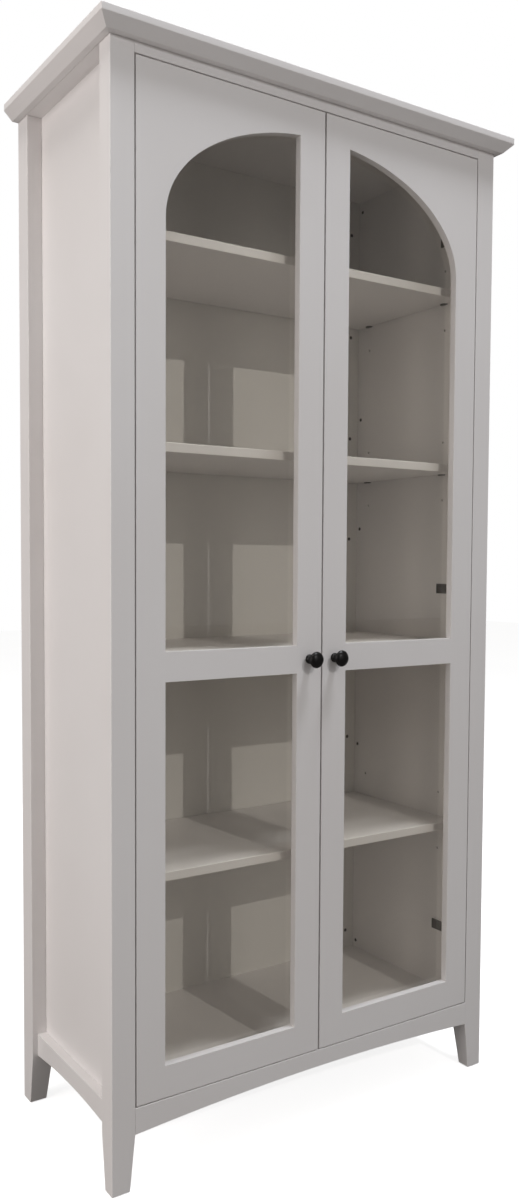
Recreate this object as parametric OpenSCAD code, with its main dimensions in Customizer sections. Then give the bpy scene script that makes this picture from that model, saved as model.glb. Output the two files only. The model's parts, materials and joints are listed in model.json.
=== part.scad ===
// Tall two-door glazed bookcase: a post-and-panel cabinet with a bevelled cornice,
// a pair of framed glass doors under one elliptical arch, and four shelves.
// X runs across the front, Y from front to back, Z up. The origin is on the floor,
// at the middle of the whole object's footprint. Sizes are in millimetres.

/* [Cabinet] */
// Width over the four corner posts
body_w = 858; // [700:1:1100]
// Depth over the corner posts
body_d = 384; // [310:1:500]
// Height from the floor to the top of the cornice
total_h = 1900; // [1560:1:2300]

/* [Corner posts] */
// Width of every post, across the front
post_w = 43.5; // [36:0.5:60]
// Depth of the front posts
front_post_d = 38; // [30:0.5:50]
// Depth of the rear posts
rear_post_d = 44; // [36:0.5:56]
// Height of the tapered foot under the rails
foot_h = 96; // [60:1:130]
// Width that a foot loses at the floor
foot_taper_w = 10; // [4:0.5:16]
// Depth that a foot loses at the floor
foot_taper_d = 12; // [4:0.5:18]
// Diameter of the nylon glide under each foot
glide_d = 20; // [12:0.5:24]
// Thickness of a glide below the post
glide_t = 2; // [1:0.5:5]

/* [Panels and rails] */
// Thickness of the side panels
side_panel_t = 15; // [12:0.5:19]
// Thickness of the thin back panels
back_panel_t = 5; // [3:0.5:8]
// Distance from the rear plane to the front face of the back panel
back_inset = 24; // [21:0.5:40]
// Thickness of the floor panel and of the ceiling panel
carcass_t = 16; // [12:0.5:22]
// Height of the floor panel's upper face
floor_z = 147; // [146:1:170]
// Thickness of the front apron and of the front top rail
front_rail_t = 18; // [12:0.5:20]
// Height of the front apron at its ends
apron_h = 45.5; // [36:0.5:48]
// Height of the front top rail
top_rail_h = 18; // [14:0.5:30]
// Rise of the arch under the front apron
apron_rise = 14; // [4:0.5:20]
// Thickness of the side rails between the feet
side_rail_t = 17.5; // [12:0.5:24]
// Height of the side rails at their ends
side_rail_h = 43; // [34:0.5:48]
// Rise of the arch under a side rail
side_rail_rise = 9; // [3:0.5:14]
// Height of the two rear rails
rear_rail_h = 50; // [36:1:70]
// Thickness of the rear rails and of the upright cleats
cleat_t = 15; // [10:0.5:16]
// Width of the upright cleats that hold the back panels
cleat_w = 38; // [30:1:60]

/* [Cornice] */
// Thickness of the top board
top_board_t = 12.5; // [10:0.5:20]
// Overhang of the top board past the posts, at the front and sides
overhang = 28; // [20:0.5:40]

/* [Doors] */
// Thickness of the door frames
door_t = 20; // [18:0.5:24]
// Gap around the doors
door_gap = 2.4; // [1.5:0.1:4]
// Gap between the two doors
centre_gap = 3.6; // [1.5:0.1:5]
// Width of the door stiles
stile_w = 54.5; // [45:0.5:70]
// Height of the bottom rail of a door
bottom_rail_h = 54.5; // [45:0.5:90]
// Height of the middle rail of a door
mid_rail_h = 50; // [40:0.5:70]
// Height of the middle of the middle rail
mid_rail_z = 875; // [760:1:950]
// Height of the wood left over the crown of the arch
crown_h = 48.7; // [40:0.5:80]
// Rise of the arch, from where it springs to its crown
arch_rise = 193; // [120:1:260]
// Width of the rebate that holds the glass
rebate_w = 8; // [6:0.5:10]
// Thickness of the glass
glass_t = 3; // [2:0.5:4]
// Thickness of the glazing bead behind the glass
bead_t = 3; // [2:0.5:4]
// How far the bead stands back from the opening's edge
bead_setback = 3.5; // [2:0.5:4]
// Clearance around the glass in its rebate
glass_gap = 1; // [0.5:0.1:2]
// Length of the tenons on the door rails
tenon_l = 12; // [8:0.5:16]
// Thickness of the tenons on the door rails
tenon_t = 7; // [5:0.5:7.5]
// Diameter of a knob's head
knob_d = 30; // [24:0.5:40]
// Distance that a knob stands out from the door
knob_reach = 30; // [28:0.5:40]

/* [Hinges] */
// Diameter of a hinge cup
cup_d = 35; // [26:1:35]
// Depth that a cup goes into the door
cup_depth = 11.5; // [9:0.5:12]
// Distance of the end hinges from the ends of the door
hinge_inset = 137; // [100:1:200]

/* [Shelves] */
// Thickness of the shelves
shelf_t = 16.5; // [12:0.5:22]
// Distance from the front plane to the shelves' front edges
shelf_setback = 43.5; // [40:0.5:60]
// Height of the lower shelf's underside above the floor
lower_shelf_z = 499; // [300:1:650]
// Distance from the ceiling down to the upper shelf's underside
upper_shelf_drop = 285; // [240:1:300]
// Distance from the ceiling down to the middle shelf's underside
middle_shelf_drop = 636; // [480:1:640]
// Gap between a loose shelf and each side panel
shelf_side_gap = 2; // [1.8:0.1:3]
// Diameter of the shelf pins and of their holes
pin_d = 5; // [4:0.5:7]
// Pitch of the pin holes
pin_pitch = 60; // [40:1:70]
// Distance from the front plane to the front column of pin holes
front_pin_setback = 88; // [70:1:110]
// Distance from the rear plane to the rear column of pin holes
rear_pin_setback = 63; // [60:1:90]

/* [Hidden] */

LEFT = -1;
RIGHT = 1;
SIDES = [LEFT, RIGHT];

// Smoothness of round and arched faces
fine = 64;
arc_step = 3;
arc_steps = 16;

// Joints of the frame
dowel_d = 8;
dowel_l = 30;
dowel_into_panel = 8;
dowel_inset = 12;
tenon_inset = 3.5;
tenon_shoulder = 10;
cup_tenon_gap = 5;
panel_lap = 16;
side_rail_lift = 1;

// Screws, their heads and what they go into beyond the piece they hold
screw_d = 3.5;
screw_head_d = 7.5;
screw_head_h = 2.2;
fixing_depth = 12;
panel_screw_l = 30;
panel_screw_setback = 10;
back_screw_l = 16;
back_screw_inset = 23;
back_screw_rows = 8;
top_screw_l = 45;
top_screw_inset = 17.4;

// Concealed hinges: cup, wing plate, arm and wall plate
cup_wall = 1.4;
cup_outward = 0.75;
cup_lip = 1;
wing_t = 1.2;
wing_h = 60;
wing_w = 12;
wing_screw_z = 24;
wing_screw_l = 12.2;
arm_gap = 1.3;
arm_h = 14;
arm_half_w = 6;
arm_root_t = 8.2;
knuckle_half_w = 5;
knuckle_gap = 1;
plate_t = 3;
plate_h = 20;
plate_l = 53;
plate_post_gap = 8;
plate_front_screw = 14;
plate_rear_screw = 12;

// Shelf pins and the gaps around the shelves
pin_above_underside = 7;
pin_hole_depth = 10;
pin_end_gap = 1;
pin_plate_gap = 0.2;
pin_foot_t = 2;
pin_foot_r = 8;
pin_foot_reach = 10.5;
shelf_rear_gap = 2;
shelf_below_rail = 7;

// Knobs
knob_dome_h = 8;
knob_screw_depth = 12;

// Tip bracket
bracket_w = 40;
bracket_h = 60;
bracket_t = 2;
bracket_hole_d = 8;
bracket_lap = 30;
bracket_screw_x = 10;

// Planes of the cabinet
half_w = body_w / 2;
front_y = -(body_d - knob_reach) / 2;
rear_y = front_y + body_d;
wall_x = half_w - post_w;
panel_out_x = wall_x + side_panel_t;
front_post_y = front_y + front_post_d;
rear_post_y = rear_y - rear_post_d;
back_y = rear_y - back_inset;
cleat_y = back_y + back_panel_t;
ceiling_z = total_h - top_board_t - carcass_t;
board_z = total_h - top_board_t;
floor_under_z = floor_z - carcass_t;
apron_top_z = foot_h + apron_h;
side_rail_z = foot_h + side_rail_lift;
top_rail_z = ceiling_z - top_rail_h;
rear_top_z = ceiling_z - rear_rail_h;
rear_bottom_z = floor_z - rear_rail_h;
panel_bottom_z = floor_under_z - panel_lap;

// Planes of the doors, for the right-hand door
door_edge_x = wall_x - door_gap;
stile_out_x = door_edge_x - stile_w;
meeting_x = centre_gap / 2;
stile_in_x = meeting_x + stile_w;
door_back_y = front_y + door_t;
door_z0 = apron_top_z + door_gap;
door_z1 = top_rail_z - door_gap;
bottom_rail_z = door_z0 + bottom_rail_h;
mid_rail_z0 = mid_rail_z - mid_rail_h / 2;
mid_rail_z1 = mid_rail_z + mid_rail_h / 2;
spring_z = door_z1 - crown_h - arch_rise;
glass_y = door_back_y - bead_t - glass_t;
bead_y = door_back_y - bead_t;
tenon_y = front_y + tenon_inset;
hinge_zs = [door_z0 + hinge_inset, (door_z0 + door_z1) / 2, door_z1 - hinge_inset];
cup_x = door_edge_x - (stile_w - rebate_w) / 2 + cup_outward;
plate_y0 = front_post_y + plate_post_gap;
plate_y1 = plate_y0 + plate_l;

// Shelf heights and pin columns
upper_shelf_z = ceiling_z - upper_shelf_drop;
middle_shelf_z = ceiling_z - middle_shelf_drop;
fixed_shelf_z = mid_rail_z1 - shelf_below_rail - shelf_t;
loose_shelf_zs = [lower_shelf_z, middle_shelf_z, upper_shelf_z];
pin_columns = [front_y + front_pin_setback, rear_y - rear_pin_setback];
shelf_front_y = front_y + shelf_setback;

// Places of the dowels and screws
cross_front_y = front_y + front_rail_t / 2;
cross_rear_y = cleat_y + cleat_t / 2;
side_dowel_zs = [floor_z + 100, lower_shelf_z + 220, middle_shelf_z + 20, ceiling_z - 120];
shelf_dowel_ys = [front_y + 90, back_y - 60];
side_screw_zs = [floor_z + 16, lower_shelf_z + 131, middle_shelf_z - 105,
                 middle_shelf_z + 145, ceiling_z - 22];
side_screw_y = back_y - panel_screw_setback;
back_screw_z0 = floor_z + 41;
back_screw_z1 = ceiling_z - 75;

// A box between two opposite corners
module block(lo, hi) {
    translate(lo)
        cube(hi - lo);
}

// Shapes made for the right-hand side, mirrored for the left
module on_side(side) {
    mirror([side == LEFT ? 1 : 0, 0, 0])
        children();
}

// A countersunk screw, its head face at the origin and its point downwards
module screw(length) {
    rotate_extrude($fn = fine)
        polygon([
            [0, 0], [screw_head_d / 2, 0], [screw_d / 2, -screw_head_h],
            [screw_d / 2, -length], [0, -length]
        ]);
}

// Face of a rail whose lower edge is a shallow arc, with its ends at -half_span and half_span
module arched_face(half_span, rise, height) {
    radius = (half_span * half_span + rise * rise) / (2 * rise);
    polygon(concat(
        [for (i = [-arc_steps : arc_steps])
            let (x = half_span * i / arc_steps) [x, rise - radius + sqrt(radius * radius - x * x)]],
        [[half_span, height], [-half_span, height]]
    ));
}

// Dowels along X, at the joint between the right-hand posts and the cross rails
function cross_dowels() = [
    [wall_x, cross_front_y, foot_h + dowel_inset],
    [wall_x, cross_front_y, apron_top_z - dowel_inset],
    [wall_x, cross_front_y, top_rail_z + top_rail_h / 2],
    [wall_x, cross_rear_y, rear_top_z + dowel_inset],
    [wall_x, cross_rear_y, rear_top_z + rear_rail_h - dowel_inset],
    [wall_x, cross_rear_y, rear_bottom_z + dowel_inset],
    [wall_x, cross_rear_y, rear_bottom_z + rear_rail_h - dowel_inset]
];

// Dowels along Y, between the right-hand posts and the side rail or side panel
function side_dowels() = concat(
    [for (y = [front_post_y, rear_post_y], dz = [dowel_inset, side_rail_h - dowel_inset])
        [panel_out_x + side_rail_t / 2, y, side_rail_z + dz]],
    [for (z = side_dowel_zs) [wall_x + side_panel_t / 2, front_post_y, z]]
);

// Dowels along X, in the ends of the fixed shelf and the floor panel
function shelf_dowel_points() = [
    for (y = shelf_dowel_ys, z = [fixed_shelf_z + shelf_t / 2, floor_z - carcass_t / 2])
        [wall_x, y, z]
];

module dowel_along_x(p, before, after) {
    translate(p - [before, 0, 0])
        rotate([0, 90, 0])
            cylinder(d = dowel_d, h = before + after, $fn = 32);
}

module dowel_along_y(p) {
    translate(p + [0, dowel_l / 2, 0])
        rotate([90, 0, 0])
            cylinder(d = dowel_d, h = dowel_l, $fn = 32);
}

// All the frame dowels of the right-hand side, as solids or as bores
module frame_dowel_set() {
    for (p = cross_dowels())
        dowel_along_x(p, dowel_l / 2, dowel_l / 2);
    for (p = side_dowels())
        dowel_along_y(p);
}

module shelf_dowel_set() {
    for (p = shelf_dowel_points())
        dowel_along_x(p, dowel_l - dowel_into_panel, dowel_into_panel);
}

// Screws from the inside through the side panel into the rear post
module side_screw_set() {
    for (z = side_screw_zs)
        translate([wall_x, side_screw_y, z])
            rotate([0, -90, 0])
                screw(panel_screw_l);
}

// Screws from the inside through the back panels into the cleat
module back_screw_set() {
    pitch = (back_screw_z1 - back_screw_z0) / (back_screw_rows - 1);
    for (row = [0 : back_screw_rows - 1])
        translate([wall_x - back_screw_inset, back_y, back_screw_z0 + row * pitch])
            rotate([90, 0, 0])
                screw(back_screw_l);
}

// Screws down through the ceiling panel into the posts
module top_screw_set() {
    for (y = [front_y + front_post_d / 2, rear_y - rear_post_d / 2])
        translate([half_w - top_screw_inset, y, board_z])
            screw(top_screw_l);
}

// A shelf pin: the pin, the plate in the gap beside the shelf and the half-round foot
module shelf_pin(y, shelf_z) {
    leaf_x = wall_x - shelf_side_gap + pin_plate_gap;
    foot_x = wall_x - pin_foot_reach;
    foot_z = shelf_z - pin_foot_t;
    translate([wall_x, y, shelf_z + pin_above_underside])
        rotate([0, 90, 0])
            cylinder(d = pin_d, h = pin_hole_depth - pin_end_gap, $fn = 32);
    block([leaf_x, y - pin_foot_r, foot_z],
          [wall_x, y + pin_foot_r, shelf_z + pin_above_underside + pin_d]);
    intersection() {
        translate([foot_x + pin_foot_r, y, foot_z])
            cylinder(r = pin_foot_r, h = pin_foot_t, $fn = fine);
        block([foot_x, y - pin_foot_r, foot_z], [foot_x + pin_foot_r, y + pin_foot_r, shelf_z]);
    }
    block([foot_x + pin_foot_r, y - pin_foot_r, foot_z], [wall_x, y + pin_foot_r, shelf_z]);
}

// Blind holes for the pins: three in each column at each loose shelf
module pin_holes() {
    for (z = loose_shelf_zs, y = pin_columns, step = [-1 : 1])
        translate([wall_x, y, z + pin_above_underside + step * pin_pitch])
            rotate([0, 90, 0])
                cylinder(d = pin_d, h = pin_hole_depth, $fn = 32);
}

// Wall plates of the hinges take two screws each
module hinge_screw_set() {
    for (z = hinge_zs, y = [plate_y0 + plate_front_screw, plate_y1 - plate_rear_screw])
        translate([wall_x - plate_t, y, z])
            rotate([0, -90, 0])
                screw(plate_t + fixing_depth);
}

// A post with a foot that tapers on its two inner faces
module post(y0, y1, taper_from_rear) {
    slope_y0 = taper_from_rear ? y0 : y0 + foot_taper_d;
    slope_y1 = taper_from_rear ? y1 - foot_taper_d : y1;
    intersection() {
        translate([0, y1, 0])
            rotate([90, 0, 0])
                linear_extrude(y1 - y0)
                    polygon([
                        [wall_x + foot_taper_w, glide_t], [half_w, glide_t], [half_w, ceiling_z],
                        [wall_x, ceiling_z], [wall_x, foot_h]
                    ]);
        translate([wall_x, 0, 0])
            rotate([90, 0, 90])
                linear_extrude(post_w)
                    polygon([
                        [slope_y0, glide_t], [slope_y1, glide_t], [y1, foot_h],
                        [y1, ceiling_z], [y0, ceiling_z], [y0, foot_h]
                    ]);
    }
}

module front_post(side) {
    color("whitesmoke")
        on_side(side)
            difference() {
                post(front_y, front_post_y, true);
                frame_dowel_set();
                top_screw_set();
            }
}

module rear_post(side) {
    color("whitesmoke")
        on_side(side)
            difference() {
                post(rear_post_y, rear_y, false);
                block([wall_x, rear_post_y, panel_bottom_z], [panel_out_x, back_y, ceiling_z]);
                frame_dowel_set();
                side_screw_set();
                top_screw_set();
            }
}

module side_panel(side) {
    color("whitesmoke")
        on_side(side)
            difference() {
                block([wall_x, front_post_y, panel_bottom_z], [panel_out_x, back_y, ceiling_z]);
                pin_holes();
                frame_dowel_set();
                shelf_dowel_set();
                side_screw_set();
                hinge_screw_set();
            }
}

module side_rail(side) {
    half_span = (rear_post_y - front_post_y) / 2;
    color("whitesmoke")
        on_side(side)
            difference() {
                translate([panel_out_x, front_post_y + half_span, side_rail_z])
                    rotate([90, 0, 90])
                        linear_extrude(side_rail_t)
                            arched_face(half_span, side_rail_rise, side_rail_h);
                frame_dowel_set();
            }
}

// A straight rail from post to post, bored for its dowels at both ends
module cross_rail(y0, y1, z0, z1) {
    difference() {
        block([-wall_x, y0, z0], [wall_x, y1, z1]);
        for (side = SIDES)
            on_side(side)
                frame_dowel_set();
    }
}

module apron_front() {
    color("whitesmoke")
        difference() {
            translate([0, front_y + front_rail_t, foot_h])
                rotate([90, 0, 0])
                    linear_extrude(front_rail_t)
                        arched_face(wall_x, apron_rise, apron_h);
            for (side = SIDES)
                on_side(side)
                    frame_dowel_set();
        }
}

module top_rail_front() {
    color("whitesmoke")
        cross_rail(front_y, front_y + front_rail_t, top_rail_z, ceiling_z);
}

module top_rail_rear() {
    color("whitesmoke")
        difference() {
            cross_rail(cleat_y, cleat_y + cleat_t, rear_top_z, ceiling_z);
            tip_bracket_screws();
        }
}

module bottom_rail_rear() {
    color("whitesmoke")
        cross_rail(cleat_y, cleat_y + cleat_t, rear_bottom_z, floor_z);
}

module back_cleat(side) {
    color("whitesmoke")
        on_side(side)
            difference() {
                block([wall_x - cleat_w, cleat_y, floor_z], [wall_x, cleat_y + cleat_t, rear_top_z]);
                back_screw_set();
            }
}

// The two back panels meet behind the fixed shelf
module back_panel(z0, z1) {
    color("gainsboro")
        difference() {
            block([-wall_x, back_y, z0], [wall_x, cleat_y, z1]);
            for (side = SIDES)
                on_side(side)
                    back_screw_set();
        }
}

module back_panel_upper() {
    back_panel(fixed_shelf_z + shelf_t / 2, ceiling_z);
}

module back_panel_lower() {
    back_panel(floor_under_z, fixed_shelf_z + shelf_t / 2);
}

// A panel dowelled between the two side panels
module dowelled_panel(y0, z0, z1) {
    difference() {
        block([-wall_x, y0, z0], [wall_x, back_y, z1]);
        for (side = SIDES)
            on_side(side)
                shelf_dowel_set();
    }
}

module floor_panel() {
    color("whitesmoke")
        dowelled_panel(door_back_y + door_gap, floor_under_z, floor_z);
}

module shelf_fixed() {
    color("whitesmoke")
        dowelled_panel(shelf_front_y, fixed_shelf_z, fixed_shelf_z + shelf_t);
}

module ceiling_panel() {
    color("whitesmoke")
        difference() {
            block([-half_w, front_y, ceiling_z], [half_w, rear_y, board_z]);
            for (side = SIDES)
                on_side(side)
                    top_screw_set();
        }
}

module cornice_board() {
    color("white")
        block([-half_w - overhang, front_y - overhang, board_z],
              [half_w + overhang, rear_y, total_h]);
}

// Cross-section of the bevelled moulding: out from the panel's edge and up
module cornice_profile() {
    polygon([
        [0, ceiling_z], [overhang - carcass_t, ceiling_z], [overhang, board_z], [0, board_z]
    ]);
}

// The front moulding, cut to a mitre at both ends
module cornice_front() {
    color("white")
        intersection() {
            translate([-half_w - overhang, front_y, 0])
                rotate([90, 0, 90])
                    mirror([1, 0, 0])
                        linear_extrude(body_w + 2 * overhang)
                            cornice_profile();
            translate([0, 0, ceiling_z])
                linear_extrude(carcass_t)
                    polygon([
                        [-half_w, front_y], [-half_w - overhang, front_y - overhang],
                        [half_w + overhang, front_y - overhang], [half_w, front_y]
                    ]);
        }
}

// A side moulding, mitred at the front and cut square at the back
module cornice_side(side) {
    color("white")
        on_side(side)
            intersection() {
                translate([half_w, rear_y, 0])
                    rotate([90, 0, 0])
                        linear_extrude(body_d + overhang)
                            cornice_profile();
                translate([0, 0, ceiling_z])
                    linear_extrude(carcass_t)
                        polygon([
                            [half_w, front_y], [half_w + overhang, front_y - overhang],
                            [half_w + overhang, rear_y], [half_w, rear_y]
                        ]);
            }
}

module loose_shelf(z) {
    color("whitesmoke")
        block([-wall_x + shelf_side_gap, shelf_front_y, z],
              [wall_x - shelf_side_gap, back_y - shelf_rear_gap, z + shelf_t]);
}

module shelf_pins() {
    color("dimgray")
        for (side = SIDES, z = loose_shelf_zs, y = pin_columns)
            on_side(side)
                shelf_pin(y, z);
}

// Wall plates of the hinges, on the side panels behind the front posts
module hinge_plates() {
    color("dimgray")
        for (side = SIDES)
            on_side(side)
                difference() {
                    for (z = hinge_zs)
                        block([wall_x - plate_t, plate_y0, z - plate_h / 2],
                              [wall_x, plate_y1, z + plate_h / 2]);
                    hinge_screw_set();
                }
}

// Cranked arms, from the wall plates to just behind the cups
module hinge_arms() {
    cup_side_y = door_back_y + wing_t + arm_gap;
    plate_x = wall_x - plate_t;
    color("dimgray")
        for (side = SIDES, z = hinge_zs)
            on_side(side)
                translate([0, 0, z - arm_h / 2])
                    linear_extrude(arm_h)
                        polygon([
                            [cup_x - arm_half_w, cup_side_y], [cup_x + arm_half_w, cup_side_y],
                            [plate_x, plate_y0 - arm_half_w], [plate_x, plate_y0 + arm_root_t],
                            [plate_x - arm_root_t, plate_y0 + arm_root_t],
                            [cup_x - arm_half_w, cup_side_y + 2 * arm_half_w]
                        ]);
}

module hinge_screws() {
    color("dimgray")
        for (side = SIDES)
            on_side(side)
                hinge_screw_set();
}

module panel_screws() {
    color("dimgray") {
        for (side = SIDES)
            on_side(side) {
                side_screw_set();
                back_screw_set();
            }
        tip_bracket_screws();
    }
}

module top_screws() {
    color("silver")
        for (side = SIDES)
            on_side(side)
                top_screw_set();
}

module frame_dowels() {
    color("burlywood")
        for (side = SIDES)
            on_side(side)
                frame_dowel_set();
}

module shelf_dowels() {
    color("burlywood")
        for (side = SIDES)
            on_side(side)
                shelf_dowel_set();
}

module foot_glides() {
    glide_x = half_w - (post_w - foot_taper_w) / 2;
    front_glide_y = front_y + (front_post_d - foot_taper_d) / 2;
    rear_glide_y = rear_y - (rear_post_d - foot_taper_d) / 2;
    color("darkgray")
        for (side = SIDES, y = [front_glide_y, rear_glide_y])
            on_side(side)
                translate([glide_x, y, 0])
                    cylinder(d = glide_d, h = glide_t, $fn = fine);
}

// Two screws hold the tip bracket to the rear top rail
module tip_bracket_screws() {
    for (x = [-bracket_screw_x, bracket_screw_x])
        translate([x, cleat_y + cleat_t + bracket_t, rear_top_z + bracket_lap / 2])
            rotate([-90, 0, 0])
                screw(bracket_t + fixing_depth);
}

// A steel plate that hangs below the rear top rail, with a hole for a wall strap
module tip_bracket() {
    y = cleat_y + cleat_t;
    color("silver")
        difference() {
            block([-bracket_w / 2, y, rear_top_z + bracket_lap - bracket_h],
                  [bracket_w / 2, y + bracket_t, rear_top_z + bracket_lap]);
            translate([0, y + bracket_t + 1, rear_top_z - bracket_lap / 2])
                rotate([90, 0, 0])
                    cylinder(d = bracket_hole_d, h = bracket_t + 2, $fn = fine);
            tip_bracket_screws();
        }
}

// Outline of the upper pane's opening, grown by a margin: straight sides and a
// quarter-ellipse that the two doors share
module upper_outline(grow) {
    a = stile_out_x + grow;
    b = arch_rise + grow;
    x0 = stile_in_x - grow;
    last = acos(x0 / a);
    steps = ceil(last / arc_step);
    polygon(concat(
        [[x0, mid_rail_z1 - grow], [a, mid_rail_z1 - grow]],
        [for (i = [0 : steps]) [a * cos(last * i / steps), spring_z + b * sin(last * i / steps)]]
    ));
}

module lower_outline(grow) {
    translate([stile_in_x - grow, bottom_rail_z - grow])
        square([stile_out_x - stile_in_x + 2 * grow, mid_rail_z0 - bottom_rail_z + 2 * grow]);
}

// An outline in the plane of the door, given a thickness from y0 to y1
module upright_plate(y0, y1) {
    translate([0, y1, 0])
        rotate([90, 0, 0])
            linear_extrude(y1 - y0)
                children();
}

// What is cut from the stiles and rails: both openings and their rebates
module glazing_cut() {
    upright_plate(front_y - 1, door_back_y + 1)
        upper_outline(0);
    upright_plate(glass_y, door_back_y + 1)
        upper_outline(rebate_w);
    upright_plate(glass_y, door_back_y + 1)
        lower_outline(rebate_w);
}

// A tenon at each end of a rail, and the mortise that takes it
module tenon(x, z0, z1) {
    block([x - tenon_l, tenon_y, z0], [x + tenon_l, tenon_y + tenon_t, z1]);
}

module tenon_set() {
    tops = door_z1 - tenon_shoulder;
    for (x = [stile_in_x, stile_out_x]) {
        tenon(x, door_z0 + tenon_shoulder, bottom_rail_z - tenon_shoulder);
        tenon(x, mid_rail_z0 + tenon_shoulder, mid_rail_z1 - tenon_shoulder);
    }
    tenon(stile_out_x, hinge_zs[2] + cup_d / 2 + cup_tenon_gap, tops);
    tenon(stile_in_x, door_z1 - crown_h + tenon_shoulder, tops);
}

module cup_bores() {
    for (z = hinge_zs)
        translate([cup_x, door_back_y + 1, z])
            rotate([90, 0, 0])
                cylinder(d = cup_d, h = cup_depth + 1, $fn = fine);
}

// Screws of a door: two through each wing plate, and one through the frame into the knob
module door_screw_set() {
    for (z = hinge_zs, dz = [-wing_screw_z, wing_screw_z])
        translate([cup_x, door_back_y + wing_t, z + dz])
            rotate([-90, 0, 0])
                screw(wing_screw_l);
    translate([(meeting_x + stile_in_x) / 2, door_back_y, mid_rail_z])
        rotate([-90, 0, 0])
            screw(door_t + knob_screw_depth);
}

module outer_stile(side) {
    color("whitesmoke")
        on_side(side)
            difference() {
                block([stile_out_x, front_y, door_z0], [door_edge_x, door_back_y, door_z1]);
                glazing_cut();
                tenon_set();
                cup_bores();
                door_screw_set();
            }
}

module inner_stile(side) {
    color("whitesmoke")
        on_side(side)
            difference() {
                block([meeting_x, front_y, door_z0], [stile_in_x, door_back_y, door_z1]);
                glazing_cut();
                tenon_set();
                door_screw_set();
            }
}

// A rail between the stiles, with the tenons that lie in its height
module door_rail(side, z0, z1) {
    color("whitesmoke")
        on_side(side) {
            difference() {
                block([stile_in_x, front_y, z0], [stile_out_x, door_back_y, z1]);
                glazing_cut();
            }
            intersection() {
                tenon_set();
                block([stile_in_x - tenon_l, front_y, z0], [stile_out_x + tenon_l, door_back_y, z1]);
            }
        }
}

module top_rail(side) {
    door_rail(side, spring_z, door_z1);
}

module mid_rail(side) {
    door_rail(side, mid_rail_z0, mid_rail_z1);
}

module bottom_rail(side) {
    door_rail(side, door_z0, bottom_rail_z);
}

module upper_glass(side) {
    color("lightcyan", 0.3)
        on_side(side)
            upright_plate(glass_y, glass_y + glass_t)
                upper_outline(rebate_w - glass_gap);
}

module lower_glass(side) {
    color("lightcyan", 0.3)
        on_side(side)
            upright_plate(glass_y, glass_y + glass_t)
                lower_outline(rebate_w - glass_gap);
}

module upper_bead(side) {
    color("whitesmoke")
        on_side(side)
            upright_plate(bead_y, bead_y + bead_t)
                difference() {
                    upper_outline(rebate_w);
                    upper_outline(bead_setback);
                }
}

module lower_bead(side) {
    color("whitesmoke")
        on_side(side)
            upright_plate(bead_y, bead_y + bead_t)
                difference() {
                    lower_outline(rebate_w);
                    lower_outline(bead_setback);
                }
}

// A turned mushroom knob: foot, neck, flare and domed head
module knob(side) {
    head_r = knob_d / 2;
    rim = knob_reach - knob_dome_h;
    color("black")
        on_side(side)
            translate([(meeting_x + stile_in_x) / 2, front_y, mid_rail_z])
                difference() {
                    rotate([90, 0, 0])
                        rotate_extrude($fn = fine)
                            polygon(concat(
                                [[0, 0], [8, 0], [8, 1.5], [6, 3.5], [5.5, 8], [7, 12], [head_r - 1, rim - 2]],
                                [for (t = [0 : 10 : 90]) [head_r * cos(t), rim + knob_dome_h * sin(t)]]
                            ));
                    rotate([90, 0, 0])
                        cylinder(d = screw_d, h = knob_screw_depth, $fn = fine);
                }
}

// A pressed steel cup with its wing plate and the knuckle that the arm joins
module hinge_cup(z) {
    difference() {
        translate([cup_x, door_back_y, z])
            rotate([90, 0, 0])
                cylinder(d = cup_d, h = cup_depth, $fn = fine);
        translate([cup_x, door_back_y + 1, z])
            rotate([90, 0, 0])
                cylinder(d = cup_d - 2 * cup_wall, h = cup_depth + 1 - cup_wall, $fn = fine);
    }
    difference() {
        union() {
            block([cup_x - wing_w / 2, door_back_y, z - wing_h / 2],
                  [cup_x + wing_w / 2, door_back_y + wing_t, z + wing_h / 2]);
            translate([cup_x, door_back_y + wing_t, z])
                rotate([90, 0, 0])
                    cylinder(d = cup_d + 2 * cup_lip, h = wing_t, $fn = fine);
        }
        translate([cup_x, door_back_y + wing_t + 1, z])
            rotate([90, 0, 0])
                cylinder(d = cup_d - 2 * cup_wall, h = wing_t + 2, $fn = fine);
        door_screw_set();
    }
    block([cup_x - knuckle_half_w, door_back_y - cup_depth + cup_wall, z - arm_h / 2],
          [cup_x + knuckle_half_w, door_back_y - knuckle_gap, z + arm_h / 2]);
}

module hinge_cups(side) {
    color("dimgray")
        on_side(side)
            for (z = hinge_zs)
                hinge_cup(z);
}

module door_screws(side) {
    color("dimgray")
        on_side(side)
            door_screw_set();
}

front_post(LEFT);  // front_post_left
front_post(RIGHT);  // front_post_right
rear_post(LEFT);  // rear_post_left
rear_post(RIGHT);  // rear_post_right
side_panel(LEFT);  // side_panel_left
side_panel(RIGHT);  // side_panel_right
side_rail(LEFT);  // side_rail_left
side_rail(RIGHT);  // side_rail_right
apron_front();
top_rail_front();
top_rail_rear();
bottom_rail_rear();
back_cleat(LEFT);  // back_cleat_left
back_cleat(RIGHT);  // back_cleat_right
back_panel_upper();
back_panel_lower();
floor_panel();
ceiling_panel();
cornice_board();
cornice_front();
cornice_side(LEFT);  // cornice_left
cornice_side(RIGHT);  // cornice_right
loose_shelf(upper_shelf_z);  // shelf_upper
loose_shelf(middle_shelf_z);  // shelf_middle
shelf_fixed();
loose_shelf(lower_shelf_z);  // shelf_lower
shelf_pins();
hinge_plates();
hinge_arms();
hinge_screws();
panel_screws();
top_screws();
frame_dowels();
shelf_dowels();
foot_glides();
tip_bracket();
outer_stile(LEFT);  // left_outer_stile
inner_stile(LEFT);  // left_inner_stile
top_rail(LEFT);  // left_top_rail
mid_rail(LEFT);  // left_mid_rail
bottom_rail(LEFT);  // left_bottom_rail
upper_glass(LEFT);  // left_upper_glass
lower_glass(LEFT);  // left_lower_glass
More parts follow.
